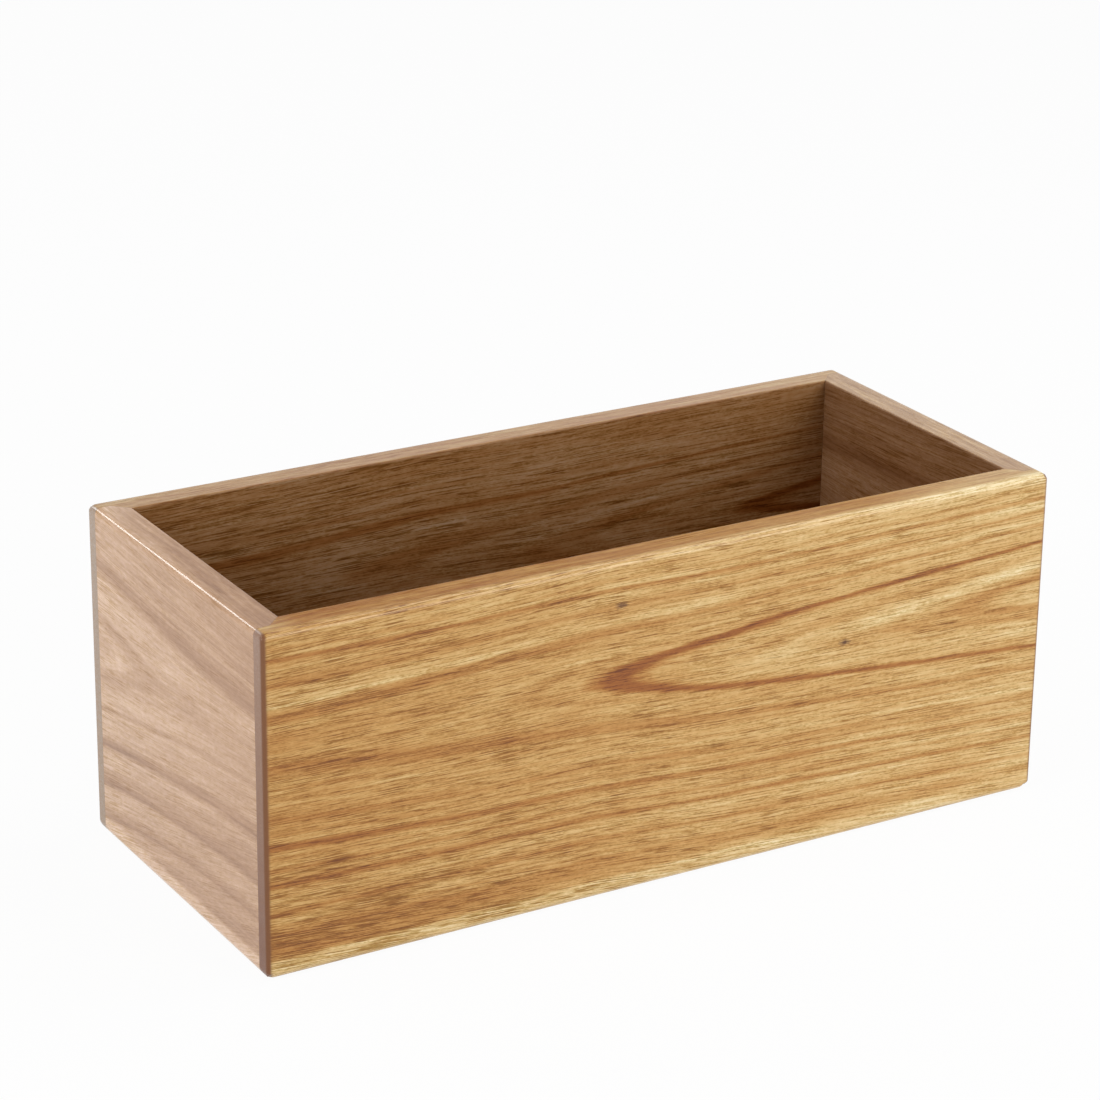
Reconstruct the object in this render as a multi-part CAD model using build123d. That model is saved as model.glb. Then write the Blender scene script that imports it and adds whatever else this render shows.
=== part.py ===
from build123d import *
import os

# Open-topped wooden caddy: four boards glued up as a box round a loose base panel.
# Millimetres, +Z up. The origin lies on the standing surface, under the middle of the box.
# The long boards run along X, and the front of the box looks towards -Y.

# ---- The box as a whole ----
LENGTH = 265.0            # along X, over the end boards
DEPTH = 115.0             # along Y, over the long boards
HEIGHT = 105.0            # standing surface to rim

# ---- The boards ----
WALL = 10.0               # thickness of all four boards
LIP = 5.0                 # part of a long board's thickness that laps over the end board's edge
GROOVE_DEPTH = 4.0        # how far the panel groove is cut into the inside faces

# ---- The base panel ----
PANEL_THICKNESS = 6.0
PANEL_LIFT = 5.0          # wood left under the groove, so the panel hangs clear of the table
SWELL_GAP = 0.3           # room for the panel to swell, between its edge and each groove bottom
SLIDE_GAP = 0.2           # the groove is this much taller than the panel

# ---- Sanded edges ----
CORNER_ROUND = 1.0        # upright outside corners
RIM_ROUND = 2.0           # outside of the rim
FOOT_ROUND = 3.0          # outside of the bottom edge
RIM_EASE = 0.5            # inside of the rim

# ---- Sizes that follow from those above ----
INNER_LENGTH = LENGTH - 2 * WALL
INNER_DEPTH = DEPTH - 2 * WALL
GROOVE_LENGTH = INNER_LENGTH + 2 * GROOVE_DEPTH
GROOVE_WIDTH = INNER_DEPTH + 2 * GROOVE_DEPTH
GROOVE_HEIGHT = PANEL_THICKNESS + SLIDE_GAP

ON_BASE = (Align.CENTER, Align.CENTER, Align.MIN)


def rounded_block():
    """The solid block inside the box's outside faces, with its twelve edges sanded round."""
    block = Box(LENGTH, DEPTH, HEIGHT, align=ON_BASE)
    block = fillet(block.edges().filter_by(Axis.Z), CORNER_ROUND)
    block = fillet(block.faces().sort_by(Axis.Z)[-1].edges(), RIM_ROUND)
    return fillet(block.faces().sort_by(Axis.Z)[0].edges(), FOOT_ROUND)


def four_walls():
    """The block with the well and the panel groove cut out, before it is parted into boards."""
    well = Box(INNER_LENGTH, INNER_DEPTH, HEIGHT, align=ON_BASE)
    walls = rounded_block() - well
    rim_top = walls.faces().sort_by(Axis.Z)[-1]
    walls = fillet(rim_top.inner_wires().edges(), RIM_EASE)
    groove = Pos(0, 0, PANEL_LIFT) * Box(GROOVE_LENGTH, GROOVE_WIDTH, GROOVE_HEIGHT, align=ON_BASE)
    return walls - groove


def long_board_outline():
    """Plan of the front board: full-length lips outside, then mitred in to the inside corners."""
    half_length = LENGTH / 2
    outside = -DEPTH / 2
    return Polygon(
        (-half_length, outside),
        (half_length, outside),
        (half_length, outside + LIP),
        (half_length - LIP, outside + LIP),
        (half_length - WALL, outside + WALL),
        (-half_length + WALL, outside + WALL),
        (-half_length + LIP, outside + LIP),
        (-half_length, outside + LIP),
        align=None,
    )


def end_board_outline():
    """Plan of the left end board: it fits between the lips, and its inner half is mitred."""
    outside = -LENGTH / 2
    half_depth = DEPTH / 2
    return Polygon(
        (outside, -half_depth + LIP),
        (outside + LIP, -half_depth + LIP),
        (outside + WALL, -half_depth + WALL),
        (outside + WALL, half_depth - WALL),
        (outside + LIP, half_depth - LIP),
        (outside, half_depth - LIP),
        align=None,
    )


def board(walls, outline, turn=0):
    """The part of the walls that stands on an outline, turned about the box's middle."""
    return walls & Rot(0, 0, turn) * extrude(outline, HEIGHT)


def base_panel():
    """The loose floor of the box, resting on the lower side of the groove."""
    panel = Box(
        GROOVE_LENGTH - 2 * SWELL_GAP,
        GROOVE_WIDTH - 2 * SWELL_GAP,
        PANEL_THICKNESS,
        align=ON_BASE,
    )
    return Pos(0, 0, PANEL_LIFT) * panel


walls = four_walls()
HALF_TURN = 180
pieces = {
    "front_board": board(walls, long_board_outline()),
    "back_board": board(walls, long_board_outline(), HALF_TURN),
    "left_end_board": board(walls, end_board_outline()),
    "right_end_board": board(walls, end_board_outline(), HALF_TURN),
    "base_panel": base_panel(),
}

os.makedirs("parts", exist_ok=True)
for node, piece in pieces.items():
    export_step(piece, f"parts/{node}.step")
    size = piece.bounding_box().size
    print(f"{node}: {size.X:.2f} x {size.Y:.2f} x {size.Z:.2f} mm, {piece.volume / 1000:.1f} cm3")
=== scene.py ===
# %% [markdown]
# # A lacquered wooden table caddy
# The real object is an open box: two long boards, two end boards and a floor panel, all of one
# honey-brown hardwood under a satin lacquer. Its shape is plain, so nearly all of its look is in
# the wood: the growth rings, the fibres, the open pores, and the way the sanded edges catch light.
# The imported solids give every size. They could be shown as they are, but a solid's mesh has corners
# only where its faces turn, so it can't carry a ring pattern from corner to corner. Here each board
# gets a fine mesh of its own, worked out as whole arrays, with the growth rings stored on it.

# %% The frame
import math

import bpy
import numpy as np
from mathutils import Matrix, Vector


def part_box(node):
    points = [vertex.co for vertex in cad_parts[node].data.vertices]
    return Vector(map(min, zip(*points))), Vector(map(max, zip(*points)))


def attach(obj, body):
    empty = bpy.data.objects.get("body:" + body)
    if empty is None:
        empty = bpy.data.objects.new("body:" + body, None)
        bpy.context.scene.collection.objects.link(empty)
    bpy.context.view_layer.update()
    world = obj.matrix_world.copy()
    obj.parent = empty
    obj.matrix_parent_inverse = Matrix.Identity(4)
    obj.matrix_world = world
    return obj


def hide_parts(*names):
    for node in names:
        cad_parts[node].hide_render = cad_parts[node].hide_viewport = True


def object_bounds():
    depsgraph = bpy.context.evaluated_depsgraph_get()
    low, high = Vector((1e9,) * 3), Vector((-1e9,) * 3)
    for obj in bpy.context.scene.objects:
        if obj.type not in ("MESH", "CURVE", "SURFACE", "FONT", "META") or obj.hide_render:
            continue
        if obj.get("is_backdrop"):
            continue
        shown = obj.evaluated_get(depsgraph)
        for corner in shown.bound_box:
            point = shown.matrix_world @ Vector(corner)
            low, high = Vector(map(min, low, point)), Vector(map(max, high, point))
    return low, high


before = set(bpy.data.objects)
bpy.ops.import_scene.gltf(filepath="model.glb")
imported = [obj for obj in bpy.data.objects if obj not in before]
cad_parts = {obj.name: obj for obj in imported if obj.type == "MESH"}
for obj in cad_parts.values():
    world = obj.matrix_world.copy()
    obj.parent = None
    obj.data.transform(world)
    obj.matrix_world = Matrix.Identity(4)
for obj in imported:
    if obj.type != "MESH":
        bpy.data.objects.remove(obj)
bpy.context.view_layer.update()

print("solids:", sorted(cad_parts))

# %% [markdown]
# ## Sizes
# All sizes of the box come from the frame, so that this file follows it when the box changes.
# Work is done in millimetres, as at the bench, and turned into metres when a mesh is made. The
# few sizes that the boxes of the solids can't give, such as the lip and the rounding, are named here.

# %% Sizes of the box, in millimetres
MM = 1000.0
low, high = (np.array(corner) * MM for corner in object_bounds())
LENGTH, DEPTH, HEIGHT = high - low
board_low, board_high = (np.array(corner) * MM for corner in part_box("front_board"))
WALL = board_high[1] - board_low[1]
end_low, end_high = (np.array(corner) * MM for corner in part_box("left_end_board"))
LIP = (DEPTH - (end_high[1] - end_low[1])) / 2
panel_low, panel_high = (np.array(corner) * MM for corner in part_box("base_panel"))
CORNER_ROUND = 1.0
RIM_ROUND = 2.0
FOOT_ROUND = 3.0
RIM_EASE = 0.5
print(f"box {LENGTH:.0f} x {DEPTH:.0f} x {HEIGHT:.0f} mm, wall {WALL:.1f}, lip {LIP:.1f}")

# %% [markdown]
# ## A board as a lattice
# A board is thought of as a block of lattice points: so many along it, across its thickness and
# up its height. Only the points on the outside are kept. Because every skin point has one number,
# neighbouring faces share their corners and the mesh is closed without merging anything.
# A cube with modifiers would also close, but it would put its points evenly, and here they are
# wanted close together at the edges, where the wood is rounded, and wide apart in between.


# %% The outside of a lattice
def lattice_skin(counts):
    """Numbers the points on the outside of a block lattice and joins them in four-sided faces.

    A point is on the skin where any of its three counts is the first or the last one. Each side is
    a grid of numbers, and a face takes a number, its neighbour in one direction, the one across the
    corner and its neighbour in the other direction, turned so that it looks out of the block.
    """
    index = np.indices(counts)
    last = np.array(counts).reshape(3, 1, 1, 1) - 1
    skin = ((index == 0) | (index == last)).any(axis=0)
    number = np.full(counts, -1)
    number[skin] = np.arange(skin.sum())
    faces = []
    for axis in range(3):
        near = np.take(number, 0, axis=axis)
        far = np.take(number, -1, axis=axis)
        if axis == 1:
            near, far = near.T, far.T
        for grid in (near.T, far):
            corners = [grid[:-1, :-1], grid[1:, :-1], grid[1:, 1:], grid[:-1, 1:]]
            faces.append(np.stack(corners, axis=-1).reshape(-1, 4))
    return skin, np.concatenate(faces)


skin, faces = lattice_skin((3, 3, 3))
print("a lattice of 3 x 3 x 3 has", skin.sum(), "skin points and", len(faces), "faces")


# %% Where the lattice lines lie
EDGE_STEPS = np.array([0.0, 0.2, 0.45, 0.75, 1.0, 1.4, 1.8, 2.3, 3.0, 4.0])


def lines_between(start, end, step):
    """Lattice lines from start to end: fine steps at both ends for the rounding, even ones between."""
    first, final = start + EDGE_STEPS, end - EDGE_STEPS[::-1]
    middle = np.linspace(first[-1], final[0], max(2, round((final[0] - first[-1]) / step) + 1))
    return np.concatenate([first, middle[1:-1], final])


print("lines up a board:", len(lines_between(0.0, HEIGHT, 1.2)))

# %% [markdown]
# ## Sanded edges
# The box was sanded after it was glued up, so its outer edges are rounded right across the joints.
# A Bevel modifier would round each board by itself and leave a notch at each joint. Here the points
# near an edge slide onto quarter circles, by their distance from the two faces of the finished box.


# %% Rounding a square edge
def round_over(a, b, radius):
    """Slides points near a square edge onto nested quarter circles. a and b are their distances
    from its two faces. A point's shortfalls are p = radius - a and q = radius - b. The larger
    one, m, is the radius of its circle about the edge's centre, and the share of q in it says
    how far round it goes: from 0 where b reaches the radius, to a right angle where a does."""
    p = np.clip(radius - a, 0.0, None)
    q = np.clip(radius - b, 0.0, None)
    m = np.maximum(np.maximum(p, q), 1e-9)
    angle = np.where(p >= q, 0.5 * q / m, 1.0 - 0.5 * p / m) * math.pi / 2
    near = (p > 0.0) & (q > 0.0)
    return (
        np.where(near, radius - m * np.cos(angle), a),
        np.where(near, radius - m * np.sin(angle), b),
    )


def sand_box(points):
    """Rounds the box's twelve outer edges. Each point is taken by its distance from the nearest
    side, from the nearest end, and from the rim and the foot, and rounded edge by edge."""
    x, y, z = points
    from_end, from_side = LENGTH / 2 - abs(x), DEPTH / 2 - abs(y)
    from_rim, from_foot = HEIGHT - z, z
    from_end, from_side = round_over(from_end, from_side, CORNER_ROUND)
    from_rim, from_side = round_over(from_rim, from_side, RIM_ROUND)
    from_rim, from_end = round_over(from_rim, from_end, RIM_ROUND)
    from_foot = HEIGHT - from_rim
    from_foot, from_side = round_over(from_foot, from_side, FOOT_ROUND)
    from_foot, from_end = round_over(from_foot, from_end, FOOT_ROUND)
    x = np.sign(x) * (LENGTH / 2 - from_end)
    y = np.sign(y) * (DEPTH / 2 - from_side)
    return np.stack([x, y, from_foot])


moved = round_over(np.zeros(1), np.zeros(1), FOOT_ROUND)[0][0]
print(f"a point on the foot's square edge moves in by {moved:.2f} mm from both faces")

# %% [markdown]
# ## The figure of the wood
# A board's figure is where its face cuts the tree's growth rings. Where the face lies flat on the
# rings they show as arches, and where it cuts through them they show as lines along the board.
# A noise texture gives no such arches. So the figure is marked with pencil lines along rings, each
# with the ring's place in the tree, in millimetres. A smooth surface is then fitted through them,
# and its level lines are all the rings of the board. Most of the points below aren't drawn by
# hand: a measuring script found them as dark lines in the photo, at set places along each board.


# %% Fitting a figure to pencil lines
STRONG_RING = 13.3      # the darkest ring, whose pencil lines weigh more than the others
STRONG_WEIGHT = 3.0


class Figure:
    """Growth rings over a board's face. With d the height off the heart line and
    q = sqrt(d^2 + softness^2), the ring value is a sum of 1, q, d, d q, d^2 and some more products,
    each times the first few powers of the distance along the board. Least squares gives the factors.
    fan says how much further apart the fibres lie at the far end than at the near one."""

    SPAN = 30.0
    SOFTNESS = 0.08

    def __init__(self, length, powers, bends, fan, heart, lines):
        self.length = length
        self.powers = powers
        self.bends = bends
        self.fan = fan
        self.heart = np.array(heart, float)
        along, drop = np.array([point for _, line in lines for point in line], float).T
        ring = np.array([value for value, line in lines for _ in line], float)
        weight = np.where(ring == STRONG_RING, STRONG_WEIGHT, 1.0)
        terms = self.terms(along, drop) * weight[:, None]
        self.factors = np.linalg.lstsq(terms, ring * weight, rcond=1e-6)[0]
        self.error = float(np.abs(self.terms(along, drop) @ self.factors - ring).mean())

    def heart_drop(self, along):
        """How far below the rim the middle of the arches lies."""
        return np.interp(along, *self.heart.T)

    def terms(self, along, drop):
        """Every product of the sum, for each point: t is the place along the board, from -1 to 1."""
        t = 2.0 * along / self.length - 1.0
        d = (drop - self.heart_drop(along)) / self.SPAN
        q = np.hypot(d, self.SOFTNESS)
        across = (np.ones_like(d), q, d, d * q, d * d, d**3, q * d * d)[:self.bends]
        return np.stack([s * t**n for s in across for n in range(self.powers)], -1)

    def ring(self, along, drop):
        """The ring value on the face."""
        return self.terms(along, drop) @ self.factors

    def fibre(self, along, drop):
        """Which fibre a point lies on: its height off the heart line, where the fibres fan out
        evenly along the board."""
        return (drop - self.heart_drop(along)) / (1.0 + self.fan * (along / self.length - 0.5))


# %% The front board's figure: one long arch that opens to the right
front_figure = Figure(
    LENGTH,
    powers=4,
    bends=7,
    fan=0.25,
    heart=[(0, 35.5), (60, 36.0), (106, 35.7), (150, 37.6), (200, 38.2), (265, 39.5)],
    lines=[
        (STRONG_RING, [(106, 35.7), (112, 33.7), (120, 32.2), (130, 31.3), (140, 30.4), (160, 28.2),
                       (180, 26.2), (200, 24.8), (220, 23.8), (240, 22.8), (256, 21.8)]),
        (STRONG_RING, [(112, 38), (120, 40.8), (130, 43.2), (140, 44.8), (160, 48), (180, 50.4),
                       (200, 51.6), (220, 52.6), (240, 54), (256, 56.2)]),
        (19.1, [(8, 26.3), (25, 25.6), (45, 24.2), (65, 23.2), (85, 22.5), (100, 21.8), (120, 21.4),
                (160, 20.6), (200, 19), (220, 18.2), (240, 17.4), (256, 16.5)]),
        (24.5, [(8, 15.4), (25, 14.6), (45, 14.2), (65, 14.2), (100, 14.2), (140, 15), (160, 14.4),
                (180, 13.8), (200, 13.2), (220, 13), (240, 12.4), (256, 12.4)]),
        (29.5, [(8, 9.1), (45, 8.6), (85, 8.7), (120, 9.3), (160, 8.9), (200, 8.4), (256, 8)]),
        (36.0, [(0, 0), (265, 0)]),
        (20.4, [(8, 41.8), (25, 42.8), (45, 44.3), (65, 46.5), (85, 49), (100, 51.6), (120, 53.6),
                (140, 55.4), (160, 56.8), (180, 57.8), (200, 58.4), (220, 59.3), (240, 60.7), (256, 62.4)]),
        (30.6, [(8, 57.1), (25, 57), (45, 58.8), (65, 60.6), (85, 61.9), (100, 62.3), (120, 63.3),
                (140, 64.4), (160, 66.6), (180, 67.6), (220, 70.5), (256, 74)]),
        (37.6, [(8, 65.3), (25, 66), (45, 66.9), (65, 67.8), (85, 68.6), (100, 69.2), (120, 70.1),
                (140, 71.6), (160, 72.8), (180, 74), (200, 75.6), (220, 77), (240, 78.2), (256, 79.3)]),
        (46.9, [(8, 77), (25, 76.8), (45, 77.4), (65, 77.5), (85, 78.6), (100, 79.3), (120, 80.1),
                (140, 81), (160, 81.8), (180, 82.7), (200, 83.6), (220, 84), (240, 84.8), (256, 85.6)]),
        (53.7, [(8, 84.8), (45, 84.9), (65, 85.3), (85, 86.2), (100, 86.6), (120, 87.1), (160, 89.1),
                (200, 90.2), (240, 90.8), (256, 91.6)]),
        (59.6, [(8, 92.5), (45, 93.2), (100, 93.4), (140, 94.2), (180, 95.2), (220, 96.9), (256, 98.3)]),
        (7.6, [(222, 32), (240, 29.5), (256, 27.6), (240, 49.5), (256, 50.5)]),
        (3.0, [(234, 38.5), (256, 33.5), (256, 44.5)]),
        (14.8, [(90, 36)]), (16.0, [(68, 36)]), (17.3, [(0, 36)]),
    ],
)
print(f"front figure: mean error {front_figure.error:.2f} mm of ring")

# %% The left end board's figure: a blunt arch that closes towards the front
left_figure = Figure(
    DEPTH,
    powers=3,
    bends=5,
    fan=-0.4,
    heart=[(0, 43.5), (50, 40.5), (80, 38.0), (115, 35.0)],
    lines=[
        (9.0, [(7, 34), (25, 38), (46, 40.2), (42, 42.5), (32, 43.5), (20, 48.6), (10, 52.2)]),
        (22.5, [(10, 16.2), (20, 16.8), (32, 17.4), (45, 18.6), (58, 19.6), (71, 20.6), (84, 21.8),
                (97, 23.4), (106, 24)]),
        (17.0, [(30, 60), (60, 54), (71, 52.5), (84, 50.2), (97, 48.6), (106, 47.5)]),
        (26.8, [(10, 73.6), (20, 71.8), (32, 69.8), (45, 68), (58, 66.8), (71, 65.2), (84, 64.4),
                (97, 63.4), (106, 62.6)]),
        (38.4, [(10, 87.2), (20, 85.2), (32, 82.8), (45, 80.8), (58, 79.2), (71, 78), (84, 77), (97, 76),
                (106, 75.4)]),
        (49.7, [(10, 98.2), (20, 95.8), (32, 93.4), (45, 92), (58, 90.8), (71, 89.8), (84, 88.4),
                (97, 87)]),
        (31.0, [(0, 6.5), (7, 7), (50, 9.0), (80, 9.5), (108, 9.5), (115, 9.5)]),
        (38.0, [(0, 0), (60, 0.5), (115, 0.5)]), (63.0, [(30, 106), (84, 100), (97, 99.8), (106, 99)]),
        (3.0, [(3, 43.5)]), (11.0, [(75, 39)]), (13.0, [(108, 36)]),
    ],
)
print(f"left end figure: mean error {left_figure.error:.2f} mm of ring")

# %% [markdown]
# ## From a face to a whole board
# Deeper in a board its face would cut younger rings, most of all over the heart line, where the
# rings lie flat. So the ring value falls with the depth, by the cosine of the ring's slope there.
# That one rule carries the lines over the rim and onto the inside face, as in solid wood. Boards
# that were sawn one after another from a plank look alike: they are the same figure, some
# millimetres nearer the bark.

# %% Ring values through a board's thickness
PITH_BEHIND_FACE = 42.0


def ring_through_board(figure, along, drop, depth, nearer_bark=0.0):
    """The face's ring value, less the depth times the cosine of the ring's slope, which is the
    pith's distance behind the face over its distance from this height on the face."""
    flatness = PITH_BEHIND_FACE / np.hypot(drop - figure.heart_drop(along), PITH_BEHIND_FACE)
    return figure.ring(along, drop) + (nearer_bark - depth) * flatness


print("ring at the strong arch's tip:", round(float(ring_through_board(
    front_figure, np.array([106.0]), np.array([35.7]), np.array([0.0]))[0]), 1))

# %% [markdown]
# ## The boards
# At each corner the long board keeps a lip that runs over the end board's edge, and inside that the
# two boards are mitred. On a lattice that is only a rule for how far each lattice line reaches: the
# outer lines run to the end of the box, and the inner ones stop at the mitre.


# %% How far the boards reach at each depth
def long_board_reach(depth):
    """Half the length of a long board at a depth: the full lip, then the mitre."""
    return np.where(depth <= LIP, LENGTH / 2, LENGTH / 2 - depth)


def end_board_reach(depth):
    """Half the length of an end board at a depth: between the lips, then the mitre."""
    return np.where(depth <= LIP, DEPTH / 2 - LIP, DEPTH / 2 - depth)


print("reach of a long board at depths 0, 5 and 10:", long_board_reach(np.array([0.0, LIP, WALL])))

# %% Lattice lines of a board
FIBRE_STEP = 1.3
HEIGHT_STEP = 1.3
END_ZONE = WALL + 1.0   # the stretch at each end whose lattice follows the lip and the mitre
ARRIS = 0.05            # a second line this close to the lip's inner side keeps its step sharp
THICKNESS_LINES = np.array([0.0, 0.2, 0.45, 0.75, 1.0, 1.5, 2.0, 3.0, 4.0, LIP, LIP + ARRIS,
                            6.0, 7.0, 8.0, 9.0, 9.5, 9.7, 9.85, WALL])


def board_lattice(reach):
    """Points (along, depth, up) of a board. The end zone of each depth line is stretched so that
    it ends at that line's own reach: place = start + share of the zone times its length."""
    depth = THICKNESS_LINES
    up = lines_between(0.0, HEIGHT, HEIGHT_STEP)
    longest = reach(0.0)
    straight = lines_between(-longest, longest, FIBRE_STEP)
    zone_start = longest - END_ZONE
    outside = np.clip(abs(straight) - zone_start, 0.0, None) / (longest - zone_start)
    in_zone = zone_start + outside[:, None] * (reach(depth)[None, :] - zone_start)
    along = np.where(outside[:, None] > 0.0, np.sign(straight)[:, None] * in_zone, straight[:, None])
    shape = (len(straight), len(depth), len(up))
    return np.stack([
        np.broadcast_to(along[:, :, None], shape),
        np.broadcast_to(depth[None, :, None], shape),
        np.broadcast_to(up[None, None, :], shape),
    ])


print("lattice of a long board:", board_lattice(long_board_reach).shape[1:])


# %% Turning a lattice into a mesh
def mesh_from_lattice(name, points, grain, **layers):
    """Makes a closed mesh from lattice points in millimetres. grain holds each point's place in the
    wood: along the fibres, from fibre to fibre, and into the board. Each layer is one more value."""
    skin, faces = lattice_skin(points.shape[1:])
    mesh = bpy.data.meshes.new(name)
    mesh.from_pydata((points[:, skin].T / MM).tolist(), [], faces.tolist())
    lie = mesh.attributes.new("grain", "FLOAT_VECTOR", "POINT")
    lie.data.foreach_set("vector", grain[:, skin].T.astype(np.float32).ravel())
    for layer, values in layers.items():
        stored = mesh.attributes.new(layer, "FLOAT", "POINT")
        stored.data.foreach_set("value", np.broadcast_to(values, points.shape[1:])[skin].astype(np.float32))
    piece = bpy.data.objects.new(name, mesh)
    bpy.context.scene.collection.objects.link(piece)
    mesh.shade_smooth()
    mesh.set_sharp_from_angle(angle=math.radians(35))
    print(f"{name}: {len(mesh.vertices)} points, {2 * len(faces)} triangles")
    return piece


# %% [markdown]
# A joint shows as a hairline, so each point also stores its distance from the nearest joint. It is
# measured in plan, from the shape itself. Drawing the joints by hand would go wrong as soon as a
# size changed.

# %% Distance from the joints
def seam_of_long_board(along, depth):
    """Distance from the lip's inner side or from the mitre, whichever is nearer."""
    past_lip = np.clip(LENGTH / 2 - LIP - abs(along), 0.0, None)
    lip_side = np.hypot(past_lip, LIP - depth)
    mitre = (LENGTH / 2 - depth - abs(along)) / math.sqrt(2.0)
    return np.where(depth <= LIP, lip_side, np.minimum(lip_side, mitre))


def seam_of_end_board(along, depth):
    """Distance from the long board's lip or from the mitre."""
    lip_side = DEPTH / 2 - LIP - abs(along)
    mitre = (DEPTH / 2 - depth - abs(along)) / math.sqrt(2.0)
    return np.where(depth <= LIP, lip_side, mitre)


middle_of_board = seam_of_long_board(np.array([0.0]), np.array([0.0]))[0]
print(f"the middle of the front board is {middle_of_board:.1f} mm from its nearest joint")

# %% [markdown]
# Each point of a board stores some more: how far it is end grain, where a painted highlight lies on
# the rim's outer edge and a painted reflection of the floor on the foot's edge, how near it is to the
# arris, which is darkened by stain and by painted shade, and if it is rim. Masks painted by hand would
# do this too, but each of these is a distance from a face or an end.


# %% Values stored on a board
SEAM_RANGE = 4.0


def fade(distance, full, none):
    """1 up to the distance full, 0 from the distance none on, and an even fall between them."""
    return np.clip((none - distance) / (none - full), 0.0, 1.0)


def stored_values(along, depth, up, rim, longest):
    """Where each of the finishes and the painted light lies. along, depth and up are the point's place in
    the board, rim is its distance below the top, and longest is half the length of the board."""
    outside = fade(depth, 1.2, 3.2)
    return {
        "end_grain": fade(LENGTH / 2 - abs(along), 0.4, 1.2),
        # a painted highlight along the outer edge of the rim
        "painted_rim_highlight": outside * fade(rim, 0.32, 3.52),
        # a painted reflection of the floor along the foot's edge
        "painted_foot_reflection": outside * fade(up, 5.4, 6.8),
        # the left upright arris, darkened by stain and by painted shade
        "arris": fade(longest + along, 0.8, 1.6) * fade(depth, 0.6, 1.6),
        "rim": fade(rim, 0.0, 0.6) * (1.0 - fade(depth, 0.6, 3.2)),
    }


print("a fade from 1 mm to 3 mm is, at 2 mm,", fade(2.0, 1.0, 3.0))


# %% Making a board
def make_board(name, reach, seam, turn, half_span, figure, start, nearer_bark=0.0, flip=1.0):
    """Builds one board in its own bench frame (along, depth, up), then turns it into its place.

    start is the figure's own coordinate at the middle of the board, and flip mirrors the figure
    along the board. The turn is a rotation about the box's upright axis, in quarter turns.
    """
    along, depth, up = board_lattice(reach)
    inner, rim = round_over(WALL - depth, HEIGHT - up, RIM_EASE)
    depth, up = WALL - inner, HEIGHT - rim
    mark = start + flip * along
    ring = ring_through_board(figure, mark, HEIGHT - up, depth, nearer_bark)
    grain = np.stack([mark, figure.fibre(mark, HEIGHT - up), depth])
    values = stored_values(along, depth, up, rim, reach(0.0))
    joint = np.minimum(seam(along, depth), SEAM_RANGE)
    across = depth - half_span
    x, y = {
        0: (along, across),
        1: (-across, along),
        2: (-along, -across),
        3: (across, -along),
    }[turn]
    points = sand_box(np.stack([x, y, up]))
    piece = mesh_from_lattice(name, points, grain, ring=ring, seam=joint, **values)
    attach(piece, "root")
    return piece


# %% The four boards
front = make_board("front_board_wood", long_board_reach, seam_of_long_board, 0, DEPTH / 2,
                   front_figure, start=LENGTH / 2)
back = make_board("back_board_wood", long_board_reach, seam_of_long_board, 2, DEPTH / 2,
                  front_figure, start=LENGTH / 2, nearer_bark=20.0, flip=-1.0)
left = make_board("left_end_board_wood", end_board_reach, seam_of_end_board, 3, LENGTH / 2,
                  left_figure, start=DEPTH / 2)
right = make_board("right_end_board_wood", end_board_reach, seam_of_end_board, 1, LENGTH / 2,
                   left_figure, start=DEPTH / 2, nearer_bark=8.0)
boards = {"front_board": front, "back_board": back, "left_end_board": left, "right_end_board": right}

# %% [markdown]
# ## The floor panel
# The floor is a thin panel that lies loose in a groove. Its edges are never seen. It was sawn from
# the same wood, so it takes a slice of the front board's figure, laid flat. Its depth in the wood
# starts at the wall's thickness, so that the material gives it the inner faces' finish and their
# painted shade.


# %% The floor panel
PANEL_EDGE = 0.3


def make_panel():
    """A flat lattice: x along the fibres, y across, z up. The face's drop is measured from y."""
    x = lines_between(panel_low[0], panel_high[0], 2.0)
    y = lines_between(panel_low[1], panel_high[1], 1.6)
    bottom, top = panel_low[2], panel_high[2]
    z = np.array([bottom, bottom + PANEL_EDGE, top - PANEL_EDGE, top])
    points = np.stack(np.meshgrid(x, y, z, indexing="ij"))
    drop = HEIGHT / 2 + points[1]
    depth = top - points[2]
    mark = LENGTH / 2 - points[0]
    ring = ring_through_board(front_figure, mark, drop, depth, nearer_bark=16.0)
    # the wall's thickness added to the depth gives the panel the inner faces' painted shade
    grain = np.stack([mark, front_figure.fibre(mark, drop), depth + WALL])
    unmarked = dict.fromkeys(("end_grain", "painted_rim_highlight", "painted_foot_reflection", "arris", "rim"), 0.0)
    piece = mesh_from_lattice("base_panel_wood", points, grain, ring=ring, seam=SEAM_RANGE, **unmarked)
    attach(piece, "root")
    return piece


boards["base_panel"] = make_panel()
for node, piece in boards.items():
    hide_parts(node)

# %% [markdown]
# ## The wood as a material
# Under the lacquer the colour changes at three scales. Growth rings are the widest: a few dark
# ones, and broad pale bands between them. Along each ring run finer streaks. Across both lie the
# fibres, straight along the board, with open pores as dark dashes a few millimetres long. Each
# scale is one noise, stretched along the fibres, and together they choose a place on a ramp of
# wood tones. A photograph of wood could be used as a texture, but it would end at every edge.


# %% Small helpers for shader nodes
def add(tree, kind, inputs=None, **settings):
    """Adds a node, sets its options and fills its sockets with values or links."""
    node = tree.nodes.new(kind)
    for option, value in settings.items():
        setattr(node, option, value)
    for socket, value in (inputs or {}).items():
        if isinstance(value, bpy.types.NodeSocket):
            tree.links.new(value, node.inputs[socket])
        else:
            node.inputs[socket].default_value = value
    return node


def maths(tree, operation, first, second=0.0):
    return add(tree, "ShaderNodeMath", {0: first, 1: second}, operation=operation).outputs[0]


def vector_maths(tree, operation, first, second):
    return add(tree, "ShaderNodeVectorMath", {0: first, 1: second}, operation=operation).outputs[0]


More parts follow.
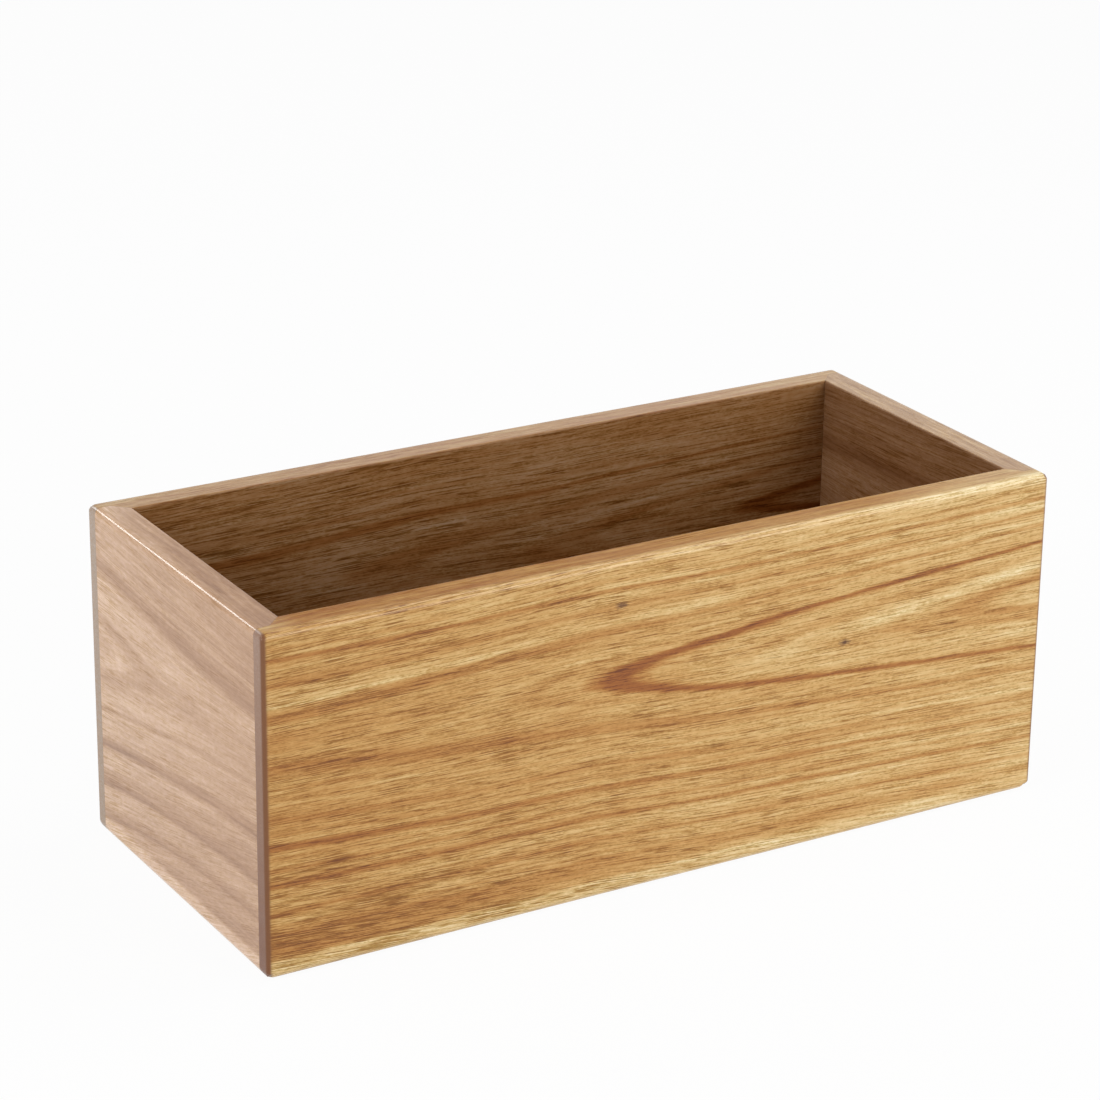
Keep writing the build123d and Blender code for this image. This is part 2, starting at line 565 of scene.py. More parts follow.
def total(tree, first, *weighted):
    """first, plus each value times its weight."""
    for value, weight in weighted:
        sockets = {0: value, 1: weight, 2: first}
        first = add(tree, "ShaderNodeMath", sockets, operation="MULTIPLY_ADD").outputs[0]
    return first


def between(tree, value, low, high):
    """0 below low, 1 above high, and an even rise between them."""
    sockets = {"Value": value, "From Min": low, "From Max": high}
    return add(tree, "ShaderNodeMapRange", sockets, clamp=True).outputs["Result"]


def layer(tree, name):
    """A value that the mesh stores at each of its points."""
    return add(tree, "ShaderNodeAttribute", attribute_name=name, attribute_type="GEOMETRY").outputs["Fac"]


# %% Small helpers for colours
FULL = (1.0, 1.0, 1.0)


def blend(tree, share, first, second, kind="MIX"):
    """Mixes two colours by a share from 0 to 1. A colour may be three numbers or a socket."""
    colours = {6: first, 7: second}
    sockets = {0: share}
    for socket, colour in colours.items():
        sockets[socket] = (*colour, 1.0) if isinstance(colour, tuple) else colour
    return add(tree, "ShaderNodeMix", sockets, data_type="RGBA", blend_type=kind).outputs[2]


def shaded(tree, colour, shade):
    """A colour multiplied by another one."""
    return blend(tree, 1.0, colour, shade, "MULTIPLY")


def ramp(tree, value, stops):
    """A colour ramp with its stops from a list of (place, colour)."""
    node = add(tree, "ShaderNodeValToRGB", {"Fac": value})
    bar = node.color_ramp.elements
    while len(bar) < len(stops):
        bar.new(0.5)
    for mark, (place, colour) in zip(bar, stops):
        mark.position = place
        mark.color = (*colour, 1.0)
    return node.outputs["Color"]


# %% [markdown]
# Tones are written as steps of a logarithm, as a dyer would thin or thicken a stain: each step down
# multiplies the colour once more by the stain. Growth rings stain towards red, so green and blue
# fall faster than red. Fibres and pores only shade the wood, so red falls nearly as fast. The end
# boards are a paler, rosier wood, and there the rings take a softer stain. On the left one, part of
# that pale, rosy colour is a painted sheen.

# %% Tones of the wood
TONE_LOW, TONE_HIGH = -1.3, 0.8
RAMP_STOPS = 12
RING_STAIN = np.array([0.50, 1.0, 1.85])
SOFT_STAIN = np.array([0.70, 1.0, 1.36])
FIBRE_STAIN = np.array([0.68, 1.0, 1.90])


def stained(middle, tone, stain):
    """The middle colour times e to the power of the tone times the stain."""
    return tuple(np.array(middle) * np.exp(tone * stain))


def tone_colours(tree, tone, middle, stain):
    """A ramp from the darkest tone to the palest one."""
    sockets = {"Value": tone, "From Min": TONE_LOW, "From Max": TONE_HIGH}
    place = add(tree, "ShaderNodeMapRange", sockets).outputs["Result"]
    steps = np.linspace(0.0, 1.0, RAMP_STOPS)
    tones = TONE_LOW + steps * (TONE_HIGH - TONE_LOW)
    return ramp(tree, place, [(step, stained(middle, tone, stain)) for step, tone in zip(steps, tones)])


darkest = [round(float(share), 2) for share in stained(FULL, TONE_LOW, RING_STAIN)]
print("the darkest ring keeps", darkest, "of red, green and blue")


# %% A tone for each ring
def tone_curve(tree, ring, marks):
    """The tone at each ring place, in straight lines from mark to mark. A colour ramp takes 32
    stops at most, and a curve takes as many points as the board has rings."""
    oldest = marks[-1][0]
    node = add(tree, "ShaderNodeFloatCurve", {"Value": maths(tree, "DIVIDE", ring, oldest)})
    curve = node.mapping.curves[0]
    while len(curve.points) < len(marks):
        curve.points.new(0.5, 0.5)
    for point, (place, tone) in zip(curve.points, marks):
        point.location = (place / oldest, (tone - TONE_LOW) / (TONE_HIGH - TONE_LOW))
        point.handle_type = "VECTOR"
    node.mapping.update()
    return total(tree, TONE_LOW, (node.outputs[0], TONE_HIGH - TONE_LOW))


# %% [markdown]
# The rings above and below the heart line look different, so each side has its own tones. Each
# mark is a ring's place in the tree, in millimetres, and its tone. The tones were chosen against
# the photo's wood, ring by ring, and then changed.

# %% Growth rings as tones
FRONT_ABOVE = [
    (0.0, 0.05), (1.6, 0.0), (2.5, -0.80), (3.2, -0.20), (4.2, 0.10), (5.4, 0.42), (6.6, 0.24),
    (8.4, -0.24), (9.4, 0.0), (10.6, 0.06), (11.8, 0.0), (12.3, -0.36), (12.7, -1.30), (13.3, -1.35),
    (13.65, -0.30), (13.9, 0.10), (15.2, -0.08), (16.2, 0.12), (17.0, -0.06), (18.2, 0.06),
    (18.8, -0.36), (19.3, -0.32), (20.1, 0.06), (20.6, 0.30), (21.2, 0.26), (21.9, 0.12),
    (23.2, 0.06), (24.3, -0.30), (24.8, -0.24), (25.8, 0.05), (27.2, 0.16), (28.6, 0.0),
    (29.3, -0.52), (29.8, -0.44), (30.4, 0.10), (31.2, 0.20), (32.4, -0.16), (33.4, 0.12),
    (35.0, 0.10), (38.0, 0.05), (45.0, 0.0), (72.0, 0.0),
]
FRONT_BELOW = [
    (0.0, 0.05), (1.6, 0.0), (2.4, -0.72), (3.4, -0.15), (4.6, -0.42), (5.6, 0.05), (7.6, 0.10),
    (9.4, 0.20), (10.6, 0.08), (11.8, 0.0), (12.3, -0.36), (12.7, -1.20), (13.3, -1.25),
    (13.65, -0.30), (13.9, 0.10), (15.2, -0.10), (16.4, 0.06), (18.4, -0.04), (19.6, -0.32),
    (20.6, -0.38), (21.6, -0.04), (24.0, 0.0), (27.6, 0.10), (29.4, -0.06), (30.4, -0.36),
    (31.0, -0.28), (31.8, -0.08), (33.4, -0.14), (35.0, 0.02), (36.0, 0.12), (36.9, -0.30),
    (37.5, -0.62), (38.0, -0.40), (38.5, 0.0), (40.4, 0.08), (41.8, 0.0), (42.8, -0.28), (43.6, 0.0),
    (44.5, 0.06), (45.7, -0.10), (46.6, -0.60), (47.1, -0.45), (47.6, 0.08), (49.0, 0.22),
    (51.2, 0.18), (52.8, 0.0), (53.6, -0.36), (54.2, -0.05), (55.4, 0.18), (57.4, 0.04),
    (59.2, -0.30), (61.0, -0.08), (62.6, -0.20), (64.4, -0.06), (67.0, 0.10), (72.0, 0.10),
]
LEFT_ABOVE = [
    (0.0, 0.02), (6.0, 0.05), (8.6, -0.14), (10.6, 0.14), (14.0, 0.18), (18.0, 0.14), (19.8, -0.10),
    (21.0, -0.40), (22.4, -0.44), (24.0, -0.22), (25.6, 0.0), (28.0, -0.14), (31.0, 0.0),
    (34.0, -0.10), (38.0, 0.0), (72.0, 0.0),
]
LEFT_BELOW = [
    (0.0, 0.02), (6.0, 0.05), (8.6, -0.16), (10.6, 0.10), (14.0, 0.16), (16.0, 0.08), (17.0, -0.10),
    (18.2, 0.10), (21.0, 0.12), (24.0, 0.0), (25.4, -0.28), (26.8, -0.58), (27.6, -0.08),
    (28.8, 0.14), (31.5, 0.04), (34.0, -0.10), (36.6, -0.30), (38.3, -0.58), (39.1, -0.05),
    (41.0, 0.10), (45.0, 0.02), (47.6, -0.18), (49.6, -0.40), (51.2, 0.0), (56.0, -0.10),
    (60.0, -0.16), (63.0, -0.38), (66.0, -0.20), (72.0, -0.10),
]
print(len(FRONT_BELOW), "and", len(LEFT_BELOW), "ring marks below the heart line")

# %% [markdown]
# Every noise is squeezed across the fibres, so that its blobs become streaks. They are all listed
# in one place, by the size of their blobs, so that the maker can see the whole grain at a glance.

# %% Noise that is stretched along the fibres
NOISES = {  # name: (length, width, number, detail, roughness), in millimetres
    "wander": (80.0, 9.0, 0.0, 2.0, 0.55),
    "feather": (7.0, 0.5, 0.5, 3.0, 0.6),
    "streaks": (30.0, 1.1, 1.0, 3.0, 0.55),
    "cloud": (40.0, 8.0, 2.0, 2.0, 0.55),
    "fibres": (34.0, 0.65, 3.0, 3.0, 0.8),
    "hairs": (17.0, 0.34, 4.0, 1.0, 0.55),
    "specks": (1.4, 0.42, 5.0, 1.0, 0.55),
    "crowd": (30.0, 5.0, 6.0, 2.0, 0.55),
    "dashes": (9.0, 0.34, 7.0, 1.0, 0.55),
    "patches": (26.0, 1.6, 8.0, 3.0, 0.55),
    "mottle": (3.0, 1.4, 9.0, 2.0, 0.55),
}
print(len(NOISES), "noises, the finest", min(width for _, width, *_ in NOISES.values()), "mm wide")


def fibre_noise(tree, place, length, width, seed, detail, rough):
    """Noise about 0, whose blobs have this length along the fibres and this width across them."""
    squeezed = vector_maths(tree, "MULTIPLY", place, (1 / length, 1 / width, 1 / width))
    sockets = {"Vector": squeezed, "W": seed, "Scale": 1.0, "Detail": detail, "Roughness": rough}
    noise = add(tree, "ShaderNodeTexNoise", sockets, noise_dimensions="4D").outputs["Fac"]
    return maths(tree, "SUBTRACT", noise, 0.5)


# %% One board's wood, before it has a colour
class Wood:
    """The material of one board and what all its parts read: the noises, and the place in the
    wood. drift runs from -0.5 at the figure's near end to 0.5 at its far end."""

    def __init__(self, name, seed, length):
        self.material = bpy.data.materials.new(name)
        self.material.use_nodes = True
        self.tree = self.material.node_tree
        self.seed = seed
        grain = add(self.tree, "ShaderNodeAttribute", attribute_name="grain", attribute_type="GEOMETRY")
        self.place = grain.outputs["Vector"]
        parts = add(self.tree, "ShaderNodeSeparateXYZ", {0: self.place})
        self.along, self.off_heart, self.deep = (parts.outputs[axis] for axis in "XYZ")
        self.to_far_end = maths(self.tree, "SUBTRACT", length, self.along)
        self.drift = maths(self.tree, "SUBTRACT", maths(self.tree, "DIVIDE", self.along, length), 0.5)
        self.noise = {
            noise: fibre_noise(self.tree, self.place, blob_length, width, seed + number, detail, rough)
            for noise, (blob_length, width, number, detail, rough) in NOISES.items()
        }


# %% [markdown]
# ## Rings, rim and foot
# First come the tones of the wood: the rings and the thin streaks that run along each ring, which
# stain it, then a painted shade that makes the rim darker along its middle, and painted highlights
# that make the edges paler. The foot's edge is the palest, a painted reflection of the floor, so
# there the tone gives way to one pale tone. Each of these could be a material of its own, but on one
# board they run into each other, so they are added up as tones.

# %% The rings' tones
WANDER, FEATHER = 1.5, 1.1      # how far noise moves a ring, in millimetres of ring
HEART_BLEND = 1.5               # over this distance off the heart line, one side turns to the other
RING_FADE = 0.5                 # how much weaker the rings are at the far end
THIN_RING_RUN = 160.0           # a thin streak keeps to its ring for about this long
THIN_RING_WIDTH = 0.9


def ring_tones(wood, above, below):
    """The tone of the growth rings, and the ring's place itself, moved a little by noise."""
    tree = wood.tree
    ring = total(tree, layer(tree, "ring"), (wood.noise["wander"], WANDER),
                 (wood.noise["feather"], FEATHER))
    side = between(tree, wood.off_heart, -HEART_BLEND, HEART_BLEND)
    sides = {0: side, 2: tone_curve(tree, ring, above), 3: tone_curve(tree, ring, below)}
    tone = add(tree, "ShaderNodeMix", sides, data_type="FLOAT").outputs[0]
    return total(tree, tone, (maths(tree, "MULTIPLY", tone, wood.drift), -RING_FADE)), ring


def thin_streaks(wood, ring):
    """Noise in the rings' own measure: it changes from ring to ring and hardly along one."""
    far = maths(wood.tree, "DIVIDE", wood.along, THIN_RING_RUN)
    place = add(wood.tree, "ShaderNodeCombineXYZ", {"X": far, "Y": ring, "Z": wood.seed}).outputs[0]
    return fibre_noise(wood.tree, place, 1.0, THIN_RING_WIDTH, wood.seed, 3.0, 0.55)


# %% The low start of a board, where the pores lie closer and the front board is darker
def low_start(wood):
    """1 in the old rings at the figure's near end, and 0 elsewhere."""
    old = between(wood.tree, layer(wood.tree, "ring"), 34.0, 58.0)
    near = between(wood.tree, wood.drift, 0.05, -0.35)
    return maths(wood.tree, "MULTIPLY", old, near)


# %% The rim and the foot
def middle_of_rim(wood, rim_ends):
    """1 along the middle of the rim, fading out over the given distances from its two ends."""
    # where the rim's painted shade and its thinner lacquer lie
    tree = wood.tree
    near_end = between(tree, wood.along, *rim_ends[0])
    far_end = between(tree, wood.to_far_end, *rim_ends[1])
    return maths(tree, "MULTIPLY", layer(tree, "rim"), maths(tree, "MULTIPLY", near_end, far_end))


def rim_shade_and_blotches(wood, rim_middle, painted_rim_shade):
    """The painted shade along the middle of the rim, and blotches over the whole rim."""
    tree = wood.tree
    blotches = maths(tree, "MULTIPLY", layer(tree, "rim"), wood.noise["patches"])
    return total(tree, maths(tree, "MULTIPLY", rim_middle, painted_rim_shade), (blotches, 1.7))


def rim_highlight_tone(wood):
    """How strong the painted highlight on the rim's outer edge is: hardly at the near end, most at the far
    one.
    """
    paler = total(wood.tree, 0.24, (wood.drift, 0.34))
    return maths(wood.tree, "MULTIPLY", layer(wood.tree, "painted_rim_highlight"), paler)


def with_painted_foot_reflection(wood, tone):
    """The tone, given way by 0.85 to a pale tone on the foot's edge, a painted reflection of the floor,
    which is darker at both ends.
    """
    tree = wood.tree
    from_middle = maths(tree, "MULTIPLY", wood.drift, wood.drift)
    foot = total(tree, 0.58, (wood.drift, -0.14), (from_middle, -0.45), (wood.noise["streaks"], 1.2))
    to_foot = maths(tree, "SUBTRACT", foot, tone)
    return total(tree, tone, (maths(tree, "MULTIPLY", layer(tree, "painted_foot_reflection"), to_foot), 0.85))


# %% [markdown]
# ## Fibres, pores and knots
# Over the stain lies a shade of fibres, fine hairs and specks. One noise alone would look too even.
# In the photo dark fibres lie further from the middle tone than bright ones, so the sum is cut off
# softly at its bright side. Pores are the peaks of one more noise, as dark dashes. A pin knot is a
# small dark ellipse with an uneven edge.

# %% Fibres and pores
FIBRE_WEIGHTS = {"fibres": 2.8, "hairs": 3.2, "specks": 1.7}
BRIGHT_LIMIT, LIMIT_SOFTNESS = 0.06, 0.20
FIBRE_LIFT = 0.215              # brings the cut-off shade back to 0 on average
PORE_START, PORE_FULL = 0.08, 0.19
RIM_CALM = 0.6                  # how much weaker the fibres are on the rim


def open_pores(wood, low):
    """0 on plain wood and 1 in a pore. They crowd together, most at the low start."""
    dashes = total(wood.tree, wood.noise["dashes"], (wood.noise["crowd"], 0.5), (wood.drift, -0.08),
                   (low, 0.07))
    return between(wood.tree, dashes, PORE_START, PORE_FULL)


def fibre_shading(wood, pores, contrast):
    """The shade of fibres and pores, as a colour to multiply with."""
    tree = wood.tree
    light = total(tree, 0.0, *((wood.noise[name], weight) for name, weight in FIBRE_WEIGHTS.items()))
    limits = {0: light, 1: BRIGHT_LIMIT, 2: LIMIT_SOFTNESS}
    capped = add(tree, "ShaderNodeMath", limits, operation="SMOOTH_MIN").outputs[0]
    calm = maths(tree, "SUBTRACT", 1.0, maths(tree, "MULTIPLY", layer(tree, "rim"), RIM_CALM))
    shade = maths(tree, "MULTIPLY", total(tree, FIBRE_LIFT, (capped, 1.0), (pores, -1.0)), calm)
    shade = total(tree, maths(tree, "MULTIPLY", shade, contrast), (wood.noise["mottle"], 0.6))
    return tone_colours(tree, shade, FULL, FIBRE_STAIN)


# %% Pin knots
PIN_KNOT = (0.11, 0.038, 0.012)


def with_knots(wood, colour, knots):
    """Darkens an ellipse about each knot's centre: its sizes divide the distances, and noise makes
    the edge uneven."""
    tree = wood.tree
    for centre, size in knots:
        offset = vector_maths(tree, "SUBTRACT", wood.place, centre)
        scaled = vector_maths(tree, "MULTIPLY", offset, tuple(1 / side for side in size))
        length = add(tree, "ShaderNodeVectorMath", {0: scaled}, operation="LENGTH").outputs["Value"]
        reach = total(tree, length, (wood.noise["hairs"], 1.5), (wood.noise["specks"], 1.5))
        dark = maths(tree, "SUBTRACT", 1.0, between(tree, reach, 0.3, 1.4))
        colour = blend(tree, dark, colour, PIN_KNOT)
    return colour


# %% [markdown]
# ## Ends, edges and joints
# End grain takes up more finish, so the lips' ends are darker. The front board's left upright edge
# is darker too, from stain in its end grain and from painted shade, and a joint shows as a hairline.
# Little of the inside can be seen, so its finish is a guess: duller, with most of the lacquer left
# out. It is also darker, and that darkness is painted shade. A second material could do that, but
# it would need its own border along the rim, and a stored depth gives that border for nothing.

# %% Colours of the ends, the edge, the joints and the inside
GLUE_LINE = (0.10, 0.045, 0.02)
END_WOOD = (0.285, 0.150, 0.085)
# the back board's end grain, paler and greyer partly from a painted sheen
END_WOOD_WITH_SHEEN = (0.440, 0.360, 0.320)
# the arris's colour: stain in its end grain, and painted shade
ARRIS_STAIN_AND_SHADE = (0.190, 0.070, 0.020)
# painted shade over the faces inside the box
INSIDE_PAINTED_SHADE = (0.58, 0.50, 0.50)
END_TONE = -0.3
GLUE_STRENGTH = 0.35
GLUE_INNER, GLUE_OUTER = 0.02, 0.16


def with_ends(wood, colour, end_wood, end_fade):
    """End grain where it is stored. It turns darker from the rim down, by end_fade."""
    tree = wood.tree
    drop = maths(tree, "DIVIDE", wood.off_heart, -HEIGHT)
    tone = total(tree, END_TONE, (drop, end_fade), (wood.noise["specks"], 0.8),
                 (wood.noise["streaks"], 0.8))
    end_colour = shaded(tree, end_wood, tone_colours(tree, tone, FULL, RING_STAIN))
    return blend(tree, layer(tree, "end_grain"), colour, end_colour)


def with_edges(wood, colour, arris_stain_and_shade):
    """The dark upright edge, darkened by stain in its end grain and by painted shade, and a hairline of
    glue where the stored distance is next to none.
    """
    tree = wood.tree
    colour = blend(tree, maths(tree, "MULTIPLY", layer(tree, "arris"), arris_stain_and_shade), colour, ARRIS_STAIN_AND_SHADE)
    glue = maths(tree, "SUBTRACT", 1.0, between(tree, layer(tree, "seam"), GLUE_INNER, GLUE_OUTER))
    return blend(tree, maths(tree, "MULTIPLY", glue, GLUE_STRENGTH), colour, GLUE_LINE)


def inside_face(wood):
    """1 on the faces that look into the box, whose depth is the whole wall."""
    return between(wood.tree, wood.deep, WALL - 0.6, WALL - 0.1)


# %% [markdown]
# ## The lacquer
# Lacquer is a clear film over the colour, so it is the shader's coat and not its own gloss. It is
# even on the outside, thinner on a worn rim, and nearly gone inside. The wood under it is dull, and
# its fibres and pores stand in relief by a few hundredths of a millimetre at most.

# %% The lacquer and the relief
COAT_WEIGHT = 0.75
INSIDE_LOSS = 0.85
LACQUER_IOR = 1.5
RELIEF_HEIGHT = 0.00005


def lacquer(wood, colour, pores, rim_middle, worn_rim, inside, polish):
    """Puts the colour, the film and the relief on the board's shader."""
    tree = wood.tree
    shader = tree.nodes["Principled BSDF"]
    tree.links.new(colour, shader.inputs["Base Color"])
    rough = total(tree, 0.42, (pores, 0.20), (wood.noise["cloud"], 0.25), (wood.noise["fibres"], 0.15))
    tree.links.new(rough, shader.inputs["Roughness"])
    shader.inputs["IOR"].default_value = LACQUER_IOR
    shader.inputs["Specular IOR Level"].default_value = 0.10
    coat = total(tree, COAT_WEIGHT, (rim_middle, -COAT_WEIGHT * worn_rim))
    coat = maths(tree, "MULTIPLY", coat, total(tree, 1.0, (inside, -INSIDE_LOSS)))
    tree.links.new(coat, shader.inputs["Coat Weight"])
    shader.inputs["Coat Roughness"].default_value = polish
    shader.inputs["Coat IOR"].default_value = LACQUER_IOR
    relief = total(tree, 0.0, (wood.noise["fibres"], 0.8), (wood.noise["hairs"], 0.5), (pores, -0.6))
    bump = add(tree, "ShaderNodeBump", {"Height": relief, "Strength": 0.35, "Distance": RELIEF_HEIGHT})
    tree.links.new(bump.outputs["Normal"], shader.inputs["Normal"])


# %% The lacquered wood of one board
RIM_ENDS = ((6.0, 45.0), (8.0, 60.0))


def lacquered_wood(name, above, below, middle, seed, length=LENGTH, fibre_contrast=1.0, painted_light_along=0.0,
                   dark_low=0.0, painted_rim_shade=0.0, rim_ends=RIM_ENDS, worn_rim=0.0, painted_rim_highlight=0.0,
                   arris_stain_and_shade=0.0, polish=0.18, ring_stain=RING_STAIN, end_wood=END_WOOD, end_fade=1.1,
                   knots=()):
    """Stain and painted light first, then fibres and pores, knots, ends and edges, and the lacquer over
    all of it.

    The tone arguments give, in turn, painted light along the board, darker wood at its low start,
    painted shade along the middle of the rim and a painted highlight on the rim's outer edge. worn_rim
    is the share of lacquer that the rim lost.
    """
    wood = Wood(name, seed, length)
    tree = wood.tree
    tone, ring = ring_tones(wood, above, below)
    low = low_start(wood)
    rim_middle = middle_of_rim(wood, rim_ends)
    # painted light along the board, painted shade along the rim's middle and a painted highlight on the
    # rim's edge join the stain here
    tone = total(tree, tone, (thin_streaks(wood, ring), 0.8), (wood.noise["streaks"], 0.8),
                 (wood.noise["cloud"], 0.6), (wood.drift, painted_light_along), (low, dark_low),
                 (rim_shade_and_blotches(wood, rim_middle, painted_rim_shade), 1.0), (rim_highlight_tone(wood), painted_rim_highlight))
    # the foot's edge takes a painted reflection of the floor
    colour = tone_colours(tree, with_painted_foot_reflection(wood, tone), middle, ring_stain)
    pores = open_pores(wood, low)
    colour = shaded(tree, colour, fibre_shading(wood, pores, fibre_contrast))
    inside = inside_face(wood)
    # painted shade over the inside faces
    colour = shaded(tree, colour, blend(tree, inside, FULL, INSIDE_PAINTED_SHADE))
    colour = with_knots(wood, colour, knots)
    colour = with_ends(wood, colour, end_wood, end_fade)
    colour = with_edges(wood, colour, arris_stain_and_shade)
    lacquer(wood, colour, pores, rim_middle, worn_rim, inside, polish)
    print(f"{name}: {len(tree.nodes)} nodes")
    return wood.material


# %% Each board's own wood
HONEY = (0.514, 0.279, 0.0735)
# rosy honey wood, paled and greyed in part by a painted sheen
ROSY_HONEY_WITH_SHEEN = (0.555, 0.328, 0.180)
PALE_HONEY = (0.430, 0.240, 0.098)
BROWN_HONEY = (0.465, 0.252, 0.080)


def knot(figure, along, drop, size):
    """A pin knot at a place on a board's face, in the fibres' own measure."""
    return (along, float(figure.fibre(np.array([along]), np.array([drop]))[0]), 0.0), size


PIN_KNOTS = [
    knot(front_figure, 113.8, 13.7, (2.0, 0.8, 3.0)),
    knot(front_figure, 192.0, 40.8, (1.7, 0.8, 3.0)),
]
FRONT_RINGS = (FRONT_ABOVE, FRONT_BELOW)
LEFT_RINGS = (LEFT_ABOVE, LEFT_BELOW)
woods = {
    "front_board": lacquered_wood("front_board_wood", *FRONT_RINGS, HONEY, 3.0, painted_light_along=0.34,
                                  dark_low=-0.045, painted_rim_shade=-0.45, rim_ends=((0.0, 14.0), (8.0, 60.0)),
                                  worn_rim=0.85, painted_rim_highlight=1.0, polish=0.30, arris_stain_and_shade=0.95,
                                  knots=PIN_KNOTS),
    "back_board": lacquered_wood("back_board_wood", *FRONT_RINGS, BROWN_HONEY, 17.0, painted_rim_shade=-0.20,
                                 end_wood=END_WOOD_WITH_SHEEN, end_fade=0.1),
    "left_end_board": lacquered_wood("left_end_board_wood", *LEFT_RINGS, ROSY_HONEY_WITH_SHEEN, 31.0, length=DEPTH,
                                     fibre_contrast=0.34, painted_light_along=-0.32, painted_rim_shade=-0.28,
                                     rim_ends=((6.0, 30.0), (0.0, 6.0)),
                                     worn_rim=0.3, polish=0.11, ring_stain=SOFT_STAIN),
    "right_end_board": lacquered_wood("right_end_board_wood", *LEFT_RINGS, PALE_HONEY, 47.0,
                                      length=DEPTH, fibre_contrast=0.6, painted_rim_shade=0.05,
                                      ring_stain=SOFT_STAIN),
    "base_panel": lacquered_wood("base_panel_wood", *FRONT_RINGS, HONEY, 59.0),
}
for node, piece in boards.items():
    piece.data.materials.append(woods[node])

# %% [markdown]
# ## The floor and the light
# The box stands on a plain pale sheet in soft light. The sheet keeps a faint shadow but looks
# almost white to the camera, by mixing some plain white into what only camera rays see.

# %% What the camera and the reflections see
def seen_directly(tree):
    """1 for rays from the camera, from a reflection or through glass, and 0 for soft light."""
    path = add(tree, "ShaderNodeLightPath")
    seen = maths(tree, "MAXIMUM", path.outputs["Is Camera Ray"], path.outputs["Is Glossy Ray"])
    return maths(tree, "MAXIMUM", seen, path.outputs["Is Transmission Ray"])


# %% The pale floor
FLOOR_SIZE = 12.0
FLOOR_COLOUR = (0.86, 0.86, 0.86, 1.0)
FLOOR_WHITE_SHARE = 0.95


def pale_floor():
    """One large square that holds the table's place: part sheet, part plain white."""
    mesh = bpy.data.meshes.new("pale_floor")
    half = FLOOR_SIZE / 2
    corners = [(-half, -half, 0), (half, -half, 0), (half, half, 0), (-half, half, 0)]
    mesh.from_pydata(corners, [], [(0, 1, 2, 3)])
    floor = bpy.data.objects.new("pale_floor", mesh)
    bpy.context.scene.collection.objects.link(floor)
    material = bpy.data.materials.new("pale_floor")
    material.use_nodes = True
    tree = material.node_tree
    sheet = tree.nodes["Principled BSDF"]
    sheet.inputs["Base Color"].default_value = FLOOR_COLOUR
    sheet.inputs["Roughness"].default_value = 0.9
    sheet.inputs["Specular IOR Level"].default_value = 0.0
    white = add(tree, "ShaderNodeEmission", {"Color": (1, 1, 1, 1), "Strength": 1.0})
    share = maths(tree, "MULTIPLY", seen_directly(tree), FLOOR_WHITE_SHARE)
    mix = add(tree, "ShaderNodeMixShader", {0: share, 1: sheet.outputs[0], 2: white.outputs[0]})
    tree.links.new(mix.outputs[0], tree.nodes["Material Output"].inputs["Surface"])
    mesh.materials.append(material)
    floor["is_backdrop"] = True
    return floor


print("floor:", pale_floor().name, "of", FLOOR_SIZE, "m")

# %% The world: soft white light from all round
AMBIENT = 0.36


def soft_world():
    """White all round: full white where it is seen, and AMBIENT as light on the box."""
    world = bpy.data.worlds.new("soft_white")
    bpy.context.scene.world = world
    world.use_nodes = True
    tree = world.node_tree
    strength = total(tree, AMBIENT, (seen_directly(tree), 1.0 - AMBIENT))
    background = tree.nodes["Background"]
    background.inputs["Color"].default_value = (1.0, 1.0, 1.0, 1.0)
    tree.links.new(strength, background.inputs["Strength"])


soft_world()
print("ambient light:", AMBIENT)

# %% [markdown]
# Four soft lamps give the box its form: two large ones, from the front and from the left, and two
# smaller ones, high on the right and behind on the left. A sun lamp would be simpler, but it gives
# a hard shadow, and the photo has none.


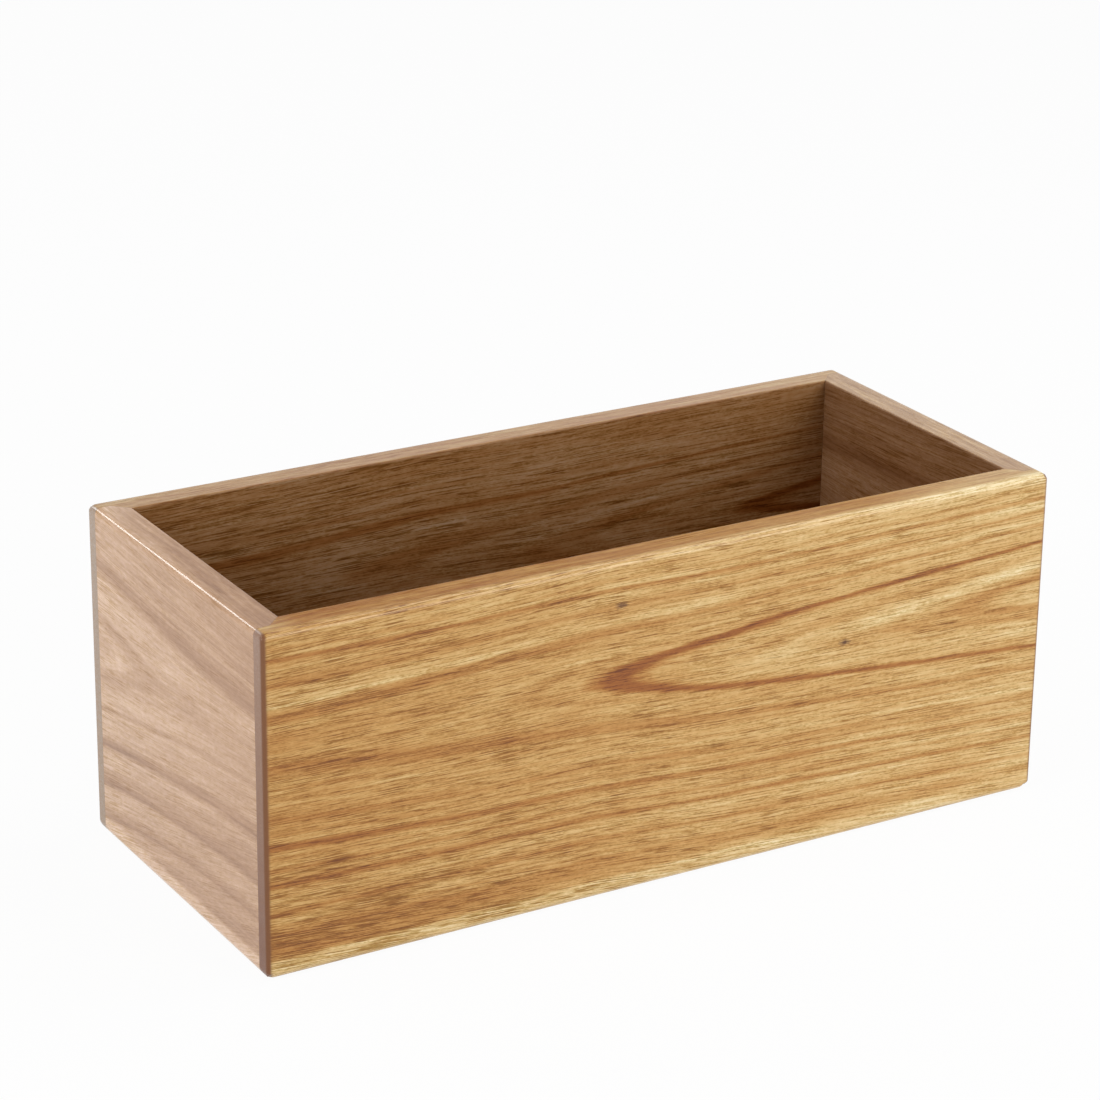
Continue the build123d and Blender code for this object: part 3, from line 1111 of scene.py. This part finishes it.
# %% Four soft lamps
def soft_lamp(name, place, aim, size, power):
    """A square area lamp that looks at a point."""
    lamp = bpy.data.lights.new(name, "AREA")
    lamp.size = size
    lamp.energy = power
    holder = bpy.data.objects.new(name, lamp)
    holder.location = place
    holder.rotation_euler = (Vector(aim) - Vector(place)).to_track_quat("-Z", "Y").to_euler()
    bpy.context.scene.collection.objects.link(holder)
    return holder


BOX_MIDDLE = (0.0, 0.0, 0.05)
LAMPS = {  # name: (place in metres, size in metres, power in watts)
    "lamp_high_right": ((0.55, -0.06, 1.0), 0.5, 3.3),
    "lamp_front": ((0.55, -1.15, 0.45), 0.8, 8.0),
    "lamp_left": ((-1.2, -0.2, 0.6), 0.8, 7.0),
    "lamp_back_left": ((-0.62, 1.37, 0.82), 0.3, 2.5),
}
for name, (place, size, power) in LAMPS.items():
    soft_lamp(name, place, BOX_MIDDLE, size, power)
print(len(LAMPS), "lamps of", sum(power for _, _, power in LAMPS.values()), "watts together")

# %% [markdown]
# ## The camera
# The view looks down a little and a little from the left, through a long lens from about a metre
# away. The camera's place and its three angles were fitted to the box's own straight edges.

# %% The camera
CAMERA_PLACE = Vector((-0.5315, -0.8813, 0.4846))
CAMERA_YAW = 0.5355
CAMERA_PITCH = 0.3703
CAMERA_ROLL = 0.0124
LENS = 120.4
SENSOR = 36.0


def aimed_camera():
    """The camera's axes from its angles: it looks along the yaw and down by the pitch, and the roll
    turns its right and up axes about the way it looks."""
    ahead = Vector((math.sin(CAMERA_YAW) * math.cos(CAMERA_PITCH),
                    math.cos(CAMERA_YAW) * math.cos(CAMERA_PITCH),
                    -math.sin(CAMERA_PITCH)))
    right = ahead.cross(Vector((0, 0, 1))).normalized()
    up = right.cross(ahead)
    cos, sin = math.cos(CAMERA_ROLL), math.sin(CAMERA_ROLL)
    right, up = right * cos + up * sin, up * cos - right * sin
    axes = Matrix((right, up, -ahead)).transposed().to_4x4()
    camera = bpy.data.cameras.new("camera")
    camera.lens = LENS
    camera.sensor_width = SENSOR
    holder = bpy.data.objects.new("camera", camera)
    holder.matrix_world = Matrix.Translation(CAMERA_PLACE) @ axes
    bpy.context.scene.collection.objects.link(holder)
    bpy.context.scene.camera = holder


aimed_camera()
print(f"camera: {CAMERA_PLACE.length:.2f} m from the middle of the box's foot, with a {LENS} mm lens")
bpy.context.scene.view_settings.view_transform = "Standard"
